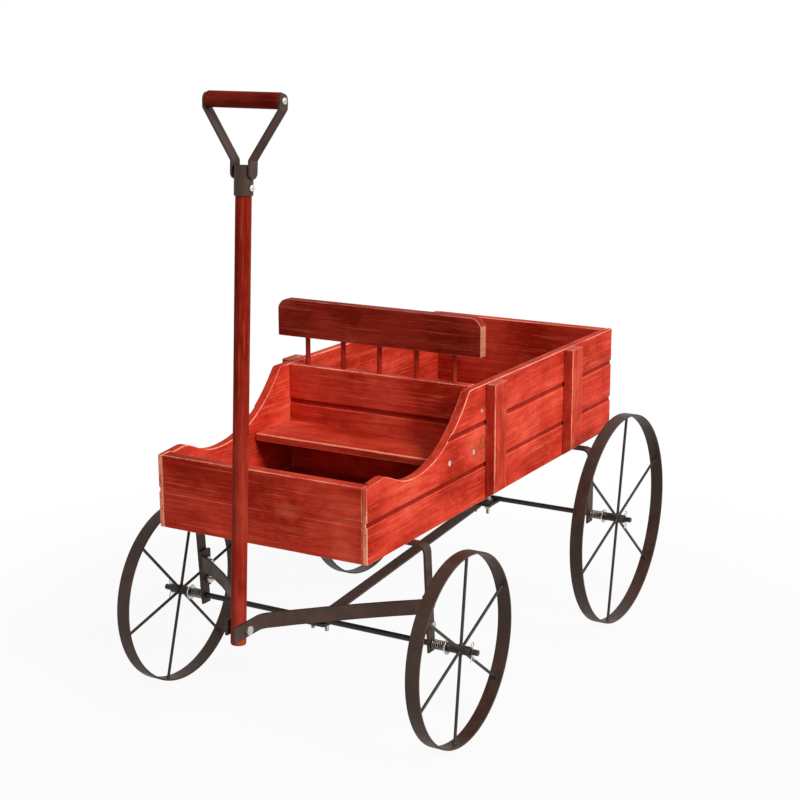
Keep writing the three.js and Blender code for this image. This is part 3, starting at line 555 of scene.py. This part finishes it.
def board(node, axes, outward, grooves=(), top=None, inner=None, stops=(), radius=EDGE, wear=1.0,
          tone=1.0, split=(), knot=None, groove_depth=GROOVE_DEPTH, paint=WOOD, slant=0.0):
    """A board lofted along its grain.

    axes names the world axes along it, through it and up its width. outward is the sign of the
    face that shows, along the second axis. top gives the upper edge's height along it and inner
    the back face's place; stops are places that need a section of their own, and split those
    where the back face steps. knot is a place (along, up) and a size for the plank's knot. slant
    is by how much the face that shows is shorter at the start.
    """
    low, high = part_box(node)
    s_axis, t_axis, u_axis = (AXES[a] for a in axes)
    start, end = low[s_axis], high[s_axis]
    bottom, full_height = low[u_axis], high[u_axis]
    back, face = sorted((outward * low[t_axis], outward * high[t_axis]))
    top = top or (lambda s: full_height)
    inner = inner or (lambda s: back)
    profile = groove_profile(grooves, groove_depth)
    seed = random.Random(node)
    shift = by_chance(seed)
    chance_knot = (seed.uniform(start, end), seed.uniform(bottom, full_height), 1.0)
    knot_along, knot_up, knot_size = knot or chance_knot
    knot_at = Vector((knot_along, knot_up, face))

    width = full_height - bottom
    rows_across = max(2, round(width / ROW))
    full_rows = [u for u, _, _ in profile]
    full_rows += [bottom + width * i / rows_across for i in range(rows_across + 1)]

    def wander(s, u, size):
        return noise.noise(Vector((s * 28, u * 60, 0)) + shift) * size

    def end_wear(s):
        """Wear of the sawn end and of the edge round it; 0 further in."""
        to_end = min(s - start, end - s)
        if to_end < 0.05 * radius:
            return 0.85
        return 1.0 if to_end < 0.6 * radius else 0

    shape = bmesh.new()
    layers = wood_layers(shape)
    rings, facts = [], []
    for s, inset in stations_along(start, end, radius, stops, split):
        r = max(radius * (1 + wander(s * 2, 0, 0.2)) - inset, 0.02 * MM)
        ring = section(inner(s) + inset, face - inset, bottom + inset, top(s) - inset, r, profile,
                       full_rows)
        at_end = end_wear(s)
        near_start = max(1 - (s - start) / SLANT_REACH, 0)
        points = []
        for t, u, worn, groove_shade in ring:
            dent = DENT * (1 + wander(s, u, 1.0)) if t > (back + face) / 2 else 0
            point = Vector((0, 0, 0))
            point[s_axis] = s + slant * (t - back) / (face - back) * near_start
            point[t_axis] = outward * (t - dent)
            point[u_axis] = u
            points.append(point)
            where = Vector((s, u, t))
            here = max(min(worn, 0.7), at_end) if at_end else worn
            finish = Vector((here * wear, groove_shade, tone))
            facts.append((where + shift, (where - knot_at) / knot_size, finish))
        rings.append(points)
    rows = loft(shape, rings)
    for vert, values in zip([v for row in rows for v in row], facts):
        for layer, value in zip(layers, values):
            vert[layer] = value
    even_shading(place(node + "_painted", mesh_of(node + "_painted", shape), paint, node))


def cubic(points, count):
    """Points along a cubic Bezier curve."""
    curve = []
    for i in range(count + 1):
        t = i / count
        weights = ((1 - t) ** 3, 3 * t * (1 - t) ** 2, 3 * t * t * (1 - t), t ** 3)
        curve.append(tuple(sum(w * p[k] for w, p in zip(weights, points)) for k in (0, 1)))
    return curve


def height_along(points):
    """The height at a place, read between points (place, height) in order of place."""
    def height(s):
        if s <= points[0][0]:
            return points[0][1]
        for (s0, h0), (s1, h1) in zip(points, points[1:]):
            if s <= s1:
                return h0 + (h1 - h0) * (s - s0) / (s1 - s0)
        return points[-1][1]
    return height


def side_panels():
    """The side's top edge is level beside the rear bay, dips beside the seat and swells in front."""
    low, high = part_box("side_panel_right")
    middle = (low.y + high.y) / 2
    outline = [(-271.5, 262.5)]
    outline += cubic([(-243, 265.3), (-229, 265.5), (-217, 251), (-187, 251)], 24)
    outline += cubic([(-187, 251), (-147, 251), (-111, 269.5), (-80, 308.5)], 36)[1:]
    outline += [(-78.6, 309.3), (-76.5, 309.8), (-72, 310), (271.5, 310)]
    outline = [(middle + y * MM, z * MM) for y, z in outline]
    rabbet = 12.3 * MM
    left_for_ends = 5 * MM
    steps = [low.y + rabbet, high.y - rabbet]
    outer = high.x

    def inner(y):
        return outer - left_for_ends if y < steps[0] or y > steps[1] else low.x

    for name, side in (("left", -1), ("right", 1)):
        # Each side panel is drawn brown at the place given as its knot, just in front of the foremost batten.
        board("side_panel_" + name, "yxz", side, [LOWER_GROOVE, UPPER_GROOVE], top=height_along(outline),
              inner=inner, stops=[y for y, _ in outline], split=steps,
              knot=(middle - 54 * MM, 250 * MM, 3.2), paint=BROWN_SPOT_WOOD)


def backrest():
    low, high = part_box("backrest_board")

    def corner(s, radius):
        """How far a rounded corner has dropped at a place near the board's end."""
        to_end = min(s - low.x, high.x - s)
        return radius - math.sqrt(max(radius ** 2 - max(radius - to_end, 0) ** 2, 0))

    round_top = 12 * MM
    turns = [round_top * (1 - math.cos(math.pi / 2 * i / 14)) for i in range(1, 15)]
    stops = [low.x + d for d in turns] + [high.x - d for d in turns]
    # A tone of 0.52 makes the backrest about half as bright as the front panel.
    board("backrest_board", "xyz", -1, top=lambda s: high.z - corner(s, round_top), stops=stops,
          tone=0.52)


def boards():
    side_panels()
    board("front_panel", "xyz", -1, [LOWER_GROOVE], knot=(30 * MM, 230 * MM, 1.3),
          groove_depth=FRONT_GROOVE_DEPTH)
    board("rear_panel", "xyz", 1, [LOWER_GROOVE, UPPER_GROOVE])
    board("seat_back", "xyz", -1, [UPPER_GROOVE], wear=0.9, tone=1.08)
    board("seat_board", "xzy", 1, radius=1.6 * MM, wear=1.15, tone=0.95)
    for bay in ("front", "rear"):
        board("floor_board_" + bay, "yzx", 1, wear=0.6, tone=0.8)
    for name, side in (("left", -1), ("right", 1)):
        for i in (1, 2):
            board(f"batten_{name}_{i}", "zxy", side, radius=1.2 * MM, tone=0.82, slant=7.5 * MM)
    backrest()


def dowel(node, profile, at, tone=1.0, wear=0.0):
    """A turned piece about the local Z axis of the matrix at; profile is (radius, height) pairs."""
    shape = bmesh.new()
    turned(shape, profile, at, 48)
    layers = wood_layers(shape)
    shift = by_chance(random.Random(node))
    no_knot = Vector((1, 0, 0))
    back = at.inverted()
    heights = [h for r, h in profile if r > 0]
    lowest, highest = min(heights), max(heights)
    for vert in shape.verts:
        x, y, z = back @ vert.co
        near_end = min(abs(z - lowest), abs(z - highest)) < 1.2 * MM
        finish = Vector((wear if near_end else 0, 0, tone))
        for layer, value in zip(layers, (Vector((z, x, y)) + shift, no_knot, finish)):
            vert[layer] = value
    place(node + "_painted", mesh_of(node + "_painted", shape, 40), WOOD, node)


def rod_profile(radius, low, high, edge):
    """A solid rod's profile, with rounded ends and rings close enough to carry wear."""
    rise = [(radius - edge, 0), (radius - 0.3 * edge, 0.3 * edge), (radius, edge), (radius, 1.5 * edge)]
    lower = [(0, low)] + [(r, low + h) for r, h in rise]
    upper = [(r, high - h) for r, h in reversed(rise)] + [(0, high)]
    between = max(2, round((high - low) / (15 * MM)))
    sides = [(radius, low + (high - low) * i / between) for i in range(1, between)]
    return lower + sides + upper


PIVOT = Vector(next(j for j in frame["joints"] if j["name"] == "handle_tilt")["pos_m"])
LEAN = math.radians(3.66)
HANDLE = Matrix.Translation(PIVOT) @ Matrix.Rotation(-LEAN, 4, "X")
POLE_RADIUS = 7.15 * MM  # the grip's too
POLE_FOOT = -15.5 * MM  # heights along the handle, from the pivot
POLE_TOP = 411 * MM
SOCKET_SCREW_HEIGHT = 393.6 * MM
GRIP_HEIGHT = 467.7 * MM
GRIP_HALF = 37.9 * MM


def dowels():
    for i in range(1, 6):
        low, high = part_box(f"spindle_{i}")
        radius = (high.x - low.x) / 2
        at = Matrix.Translation(((low.x + high.x) / 2, (low.y + high.y) / 2, 0))
        dowel(f"spindle_{i}", rod_profile(radius, low.z, high.z, 0.4 * MM), at, tone=0.65)
    pole = rod_profile(POLE_RADIUS, POLE_FOOT, POLE_TOP, 1.6 * MM)
    dowel("handle_pole", pole, HANDLE, tone=0.5, wear=1.1)
    grip_at = HANDLE @ Matrix.Translation((0, 0, GRIP_HEIGHT)) @ ALONG_X
    grip = rod_profile(POLE_RADIUS, -GRIP_HALF, GRIP_HALF, 1 * MM)
    dowel("handle_grip", grip, grip_at, tone=0.3)


boards()
dowels()

# ---------- Metal bars ----------


def softened(node, finish):
    """A copy of a bar, with its sharp edges rounded."""
    shape = bmesh.new()
    shape.from_mesh(frame["nodes"][node].data)
    bmesh.ops.remove_doubles(shape, verts=shape.verts, dist=0.01 * MM)
    flat = math.radians(0.6)
    bmesh.ops.dissolve_limit(shape, angle_limit=flat, verts=shape.verts, edges=shape.edges)
    piece = place(node + "_soft", mesh_of(node + "_soft", shape), finish, node)
    bevel = piece.modifiers.new("edges", "BEVEL")
    bevel.width = 0.35 * MM
    bevel.segments = 2
    bevel.limit_method = "ANGLE"
    bevel.angle_limit = math.radians(40)
    even_shading(piece)


for node in ("front_fork", "rear_fork", "reach_bar", "hound_left", "hound_right", "handle_yoke"):
    softened(node, BRONZE)
for node in ("front_axle", "rear_axle"):
    softened(node, IRON)

# ---------- Wheels ----------

RIM_THICKNESS = 2 * MM
SPOKE_RADIUS = 1.5 * MM
SPOKE_COUNT = 6
SPOKE_PLACE = {"front": 160.8 * MM, "rear": 163 * MM}  # from the cart's middle
SPOKE_TURN = {"front_right": 23, "front_left": 13.5, "rear_right": 20.5, "rear_left": 41}  # degrees
HUB_RADIUS = 4.4 * MM
BORE = 3.2 * MM  # of hubs and washers


def rounded_section(half_width, inner, outer, edge):
    """(radius, height) pairs round a flat band's section, its corners rounded by edge."""
    corners = [(outer, half_width), (inner, half_width), (inner, -half_width), (outer, -half_width)]
    points = []
    for quarter, (r, z) in enumerate(corners):
        middle_r = r - edge if r == outer else r + edge
        middle_z = z - edge if z > 0 else z + edge
        for i in range(4):
            angle = (quarter + i / 3) * math.pi / 2
            points.append((middle_r + edge * math.cos(angle), middle_z + edge * math.sin(angle)))
    return points


def hub_profile(length):
    """A closed profile round the wall of the hub tube."""
    r, bore, edge = HUB_RADIUS, BORE, 0.4 * MM
    return [
        (bore, edge), (bore + edge, 0), (r - edge, 0), (r, edge), (r, length / 2),
        (r, length - edge), (r - edge, length), (bore + edge, length), (bore, length - edge),
    ]


def spoke_profile(reach):
    """A spoke from inside the hub's wall to the rim, which it meets at reach, with a weld at each
    end."""
    start, thin, fat = HUB_RADIUS - 0.5 * MM, SPOKE_RADIUS, 1.55 * SPOKE_RADIUS
    end = reach - 0.1 * MM
    at_hub = [(0, start), (fat, start), (fat, HUB_RADIUS), (1.2 * thin, HUB_RADIUS + 0.8 * MM),
              (thin, HUB_RADIUS + 2 * MM)]
    between = [(thin, start + (reach - start) * i / 6) for i in range(1, 6)]
    at_rim = [(thin, reach - 2 * MM), (1.25 * thin, reach - 0.9 * MM), (fat, end), (0, end)]
    return at_hub + between + at_rim


def wheel(place_name):
    side = 1 if place_name.endswith("right") else -1
    end = place_name.split("_")[0]
    rim_node, spoke_node = "wheel_rim_" + place_name, "wheel_spokes_" + place_name
    low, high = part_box(rim_node)
    centre = middle_of(rim_node)
    radius = centre.z
    shape = bmesh.new()
    band = rounded_section((high.x - low.x) / 2, radius - RIM_THICKNESS, radius, 0.5 * MM)
    turned(shape, band, Matrix.Translation(centre) @ ALONG_X, 160, closed=True)
    rim = place(rim_node + "_band", mesh_of(rim_node + "_band", shape, 60), BRONZE, rim_node)
    even_shading(rim)

    shape = bmesh.new()
    low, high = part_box(spoke_node)
    turned(shape, hub_profile(high.x - low.x), frame_at((low.x, centre.y, centre.z), (1, 0, 0)), 40,
           closed=True)
    profile = spoke_profile(radius - RIM_THICKNESS)
    hub_middle = Vector((side * SPOKE_PLACE[end], centre.y, centre.z))
    for i in range(SPOKE_COUNT):
        angle = math.radians(SPOKE_TURN[place_name] + 360 * i / SPOKE_COUNT)
        turned(shape, profile, frame_at(hub_middle, (0, math.cos(angle), math.sin(angle))), 16)
    spokes = mesh_of(spoke_node + "_welded", shape, 50)
    place(spoke_node + "_welded", spokes, IRON, spoke_node)


# ---------- Springs, washers, pins ----------

SPRING = {"wire": 1 * MM, "mean_radius": 4.25 * MM, "turns": 7, "steps": 28}


def spring(node):
    """A wire of even pitch between two short ends that lie along the axle."""
    low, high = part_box(node)
    side = 1 if low.x > 0 else -1
    near, far = (low.x, high.x) if side > 0 else (high.x, low.x)
    wire, turns, steps = SPRING["wire"], SPRING["turns"], SPRING["steps"]
    axle = middle_of(node.replace("spring", "washer"))
    start = near + side * wire
    length = (far - side * wire) - start

    def at(x, angle):
        offset = Vector((0, math.cos(angle), math.sin(angle))) * SPRING["mean_radius"]
        return Vector((x, axle.y, axle.z)) + offset

    path = [at(start + length * i / (turns * steps), TAU * i / steps) for i in range(turns * steps + 1)]
    path = [at(near + side * 0.05 * MM, 0), *path, at(far - side * 0.05 * MM, 0)]
    shape = bmesh.new()
    tube(shape, path, wire / 2, sides=12)
    place(node + "_wound", mesh_of(node + "_wound", shape, 60), SPRING_STEEL, node)


def washer(node):
    low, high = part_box(node)
    shape = bmesh.new()
    ring = rounded_section((high.x - low.x) / 2, BORE, (high.z - low.z) / 2, 0.25 * MM)
    turned(shape, ring, Matrix.Translation(middle_of(node)) @ ALONG_X, 48, closed=True)
    piece = place(node + "_stamped", mesh_of(node + "_stamped", shape, 60), ZINC, node)
    even_shading(piece)


PIN_WIRE = 0.55 * MM  # radius
PIN_SHANK = 0.75 * MM  # from the pin's middle to the middle of each shank
PIN_EYE = 2.3 * MM  # radius
PIN_LEG = 9.5 * MM  # how far the legs reach below the axle's middle
PIN_SPLAY = 3.6 * MM  # how far each leg is spread there
AXLE_RADIUS = 2.8 * MM


def split_pin(node):
    """An eye above the axle, two shanks through it and two legs spread below."""
    low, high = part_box(node)
    rim_low, rim_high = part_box(node.replace("split_pin", "wheel_rim"))
    axle_z = (rim_low.z + rim_high.z) / 2
    centre = Vector(((low.x + high.x) / 2, (low.y + high.y) / 2, axle_z))
    top = AXLE_RADIUS + PIN_WIRE
    leg = [(PIN_SPLAY, -PIN_LEG), (PIN_SHANK + 0.6 * MM, -top - 1.4 * MM)]
    shank = [(PIN_SHANK, z) for z in (-top, 0, top)]
    eye = [(PIN_EYE * y, top + PIN_EYE * z) for y, z in ((0.8, 0.7), (1, 1.5), (0.62, 2.3))]
    half = leg + shank + eye
    way = half + [(0, top + PIN_EYE * 2.6)] + [(-y, z) for y, z in reversed(half)]
    path = smooth_path([centre + Vector((0, y, z)) for y, z in way], 5)
    path = [Vector((p.x, p.y, max(p.z, low.z + 0.3 * MM))) for p in path]
    shape = bmesh.new()
    tube(shape, path, PIN_WIRE, sides=10)
    place(node + "_bent", mesh_of(node + "_bent", shape, 60), ZINC, node)


# ---------- Bolts and screws ----------


CROWN = 0.94  # radius of a head's flat crown, in half widths across its flats
CONE = 0.58  # fall of the chamfer outside the crown
ARM = 0.2  # half the width of a cross recess, in head radii
REACH = 0.62  # how far it reaches, in head radii


def hexagon(shape, at, across, low, high, chamfer_low=False):
    """A hexagonal head or nut about the local Z axis. A cone cuts back its corners at the top and,
    for a nut, at the bottom."""
    sides = 48
    flat = across / 2

    def reach(i):
        """From the axis to the hexagon's side, toward point i."""
        turn = (TAU * i / sides) % (TAU / 6) - TAU / 12
        return flat / math.cos(turn)

    def ring(height, sign, cut):
        points = []
        for i in range(sides):
            r = reach(i)
            drop = (r - CROWN * flat) * CONE if cut else 0
            angle = TAU * i / sides
            points.append(at @ Vector((r * math.cos(angle), r * math.sin(angle), height - sign * drop)))
        return points

    def crown(height):
        return [at @ p for p in circle(CROWN * flat, height, sides)]

    rings = [crown(low)] if chamfer_low else []
    rings += [ring(low, -1, chamfer_low), ring(high, 1, True), crown(high)]
    loft(shape, rings)


def thread(shape, at, radius, low, high, pitch):
    """A threaded shank: ridges of even pitch between two plain ends."""
    count = int((high - low) / pitch)
    root = radius - 0.3 * pitch
    profile = [(0, low), (root * 0.85, low), (root, low + 0.3 * pitch)]
    for i in range(count):
        z = low + (i + 0.6) * pitch
        if z + 0.6 * pitch < high:
            profile += [(root, z), (radius, z + 0.4 * pitch), (radius, z + 0.55 * pitch)]
    turned(shape, [*profile, (root, high), (0, high)], at, 24)


def bolt(node, point, toward, across, radius, head, nut, clamped, finish=ZINC, nut_finish=None):
    """A hexagon bolt with its nut. point is under the head, toward the way the head faces, and
    clamped the distance from head to nut. With nut_finish, the nut and the shank are a piece of
    their own in that finish."""
    low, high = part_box(node)
    length = max(high[i] - low[i] for i in range(3))
    tail = length - head - clamped - nut
    at = frame_at(point, toward)
    shape = bmesh.new()
    hexagon(shape, at, across, 0.05 * MM, head)
    if nut_finish:
        place(node + "_head", mesh_of(node + "_head", shape, 30), finish, node)
        shape = bmesh.new()
    hexagon(shape, at, across, -clamped - nut, -clamped, chamfer_low=True)
    thread(shape, at, radius, low=-clamped - nut - tail, high=0.4 * MM, pitch=0.7 * MM)
    mesh = mesh_of(node + "_threaded", shape, 30)
    if nut_finish:
        place(node + "_threaded", mesh, nut_finish, slot="bronze_metal", body=body_of_node(node))
    else:
        place(node + "_threaded", mesh, finish, node)


def domed_head(shape, at, radius, height, recess):
    """A round screw head with a cross recess, which slopes at its sides."""
    sides, rows = 48, 10
    arm, reach = ARM * radius, REACH * radius

    def depth(x, y):
        for a, b in ((abs(x), abs(y)), (abs(y), abs(x))):
            if a < arm and b < reach:
                return recess * min(1, (reach - b) / (0.35 * reach), (arm - a) / (0.35 * arm))
        return 0

    rings = [circle(radius, 0, sides), circle(radius, 0.25 * height, sides)]
    for k in range(1, rows + 1):
        share = 1 - k / rows
        r = radius * max(share, 0.01)
        rise = max(height * math.sqrt(1 - (0.97 * share) ** 2), 0.3 * height)
        rings.append([Vector((p.x, p.y, rise - depth(p.x, p.y))) for p in circle(r, 0, sides)])
    loft(shape, [[at @ p for p in ring] for ring in rings])


def screw(node, point, toward, length):
    """One of the handle's screws; point is under its head."""
    at = frame_at(point, toward)
    shape = bmesh.new()
    domed_head(shape, at, radius=3.25 * MM, height=2 * MM, recess=0.9 * MM)
    thread(shape, at, radius=1.5 * MM, low=-length, high=0.1 * MM, pitch=1.1 * MM)
    place(node + "_threaded", mesh_of(node + "_threaded", shape, 40), ZINC, node)


def fasteners():
    reach_bolt = {"across": 7 * MM, "radius": 2 * MM, "head": 2.8 * MM, "nut": 3.4 * MM}
    hound_bolt = {"across": 7 * MM, "radius": 2 * MM, "head": 2.6 * MM, "nut": 3.2 * MM}
    pivot_bolt = {"across": 8.4 * MM, "radius": 2.9 * MM, "head": 3 * MM, "nut": 3 * MM}
    gap = 0.3 * MM  # under a head
    for end in ("front", "rear"):
        for side in ("left", "right"):
            node = f"reach_bolt_{end}_{side}"
            low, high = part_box(node)
            under_head = high.z - reach_bolt["head"]
            point = Vector(((low.x + high.x) / 2, (low.y + high.y) / 2, under_head))
            bolt(node, point, (0, 0, 1), clamped=6.5 * MM, finish=DULL_ZINC, **reach_bolt)
    for name, side in (("left", -1), ("right", 1)):
        for i in (1, 2):
            node = f"hound_bolt_{name}_{i}"
            low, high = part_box(node)
            under_head = (high.x if side > 0 else low.x) - side * hound_bolt["head"]
            point = Vector((under_head, (low.y + high.y) / 2, (low.z + high.z) / 2))
            bolt(node, point, (side, 0, 0), clamped=5.3 * MM, **hound_bolt)
        grip_seat = HANDLE @ Vector((side * (40.2 * MM + gap), 0, GRIP_HEIGHT))
        toward = HANDLE.to_3x3() @ Vector((side, 0, 0))
        screw(f"grip_screw_{name}", grip_seat, toward, length=15 * MM)
    half_clamped = 10.2 * MM + gap
    bolt("pivot_bolt", PIVOT + Vector((half_clamped, 0, 0)), (1, 0, 0), clamped=2 * half_clamped,
         nut_finish=BRONZE, **pivot_bolt)
    socket_seat = HANDLE @ Vector((8.5 * MM + gap, 0, SOCKET_SCREW_HEIGHT))
    screw("socket_screw", socket_seat, (1, 0, 0), length=18.2 * MM)


def panel_screws():
    """Round screw heads, almost flush, in the side panels beside the seat and the seat back."""
    low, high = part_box("side_panel_right")
    middle = (low.y + high.y) / 2
    places = ((-52.9, 284.4), (-69.2, 246.8), (-119.1, 247.7))  # along and up the panel, in mm
    sunk = 0.5 * MM
    for name, side in (("left", -1), ("right", 1)):
        face = high.x * side
        shape = bmesh.new()
        for y, z in places:
            at = frame_at((face - side * sunk, middle + y * MM, z * MM), (side, 0, 0))
            domed_head(shape, at, radius=3 * MM, height=0.9 * MM, recess=0.7 * MM)
        mesh = mesh_of("panel_screws_" + name, shape, 40)
        place("panel_screws_" + name, mesh, ZINC, slot="zinc_plate", body=body_of_node("front_panel"))


for end_name in ("front", "rear"):
    for side_name in ("left", "right"):
        corner_name = f"{end_name}_{side_name}"
        wheel(corner_name)
        spring("spring_" + corner_name)
        washer("washer_" + corner_name)
        split_pin("split_pin_" + corner_name)
fasteners()
panel_screws()
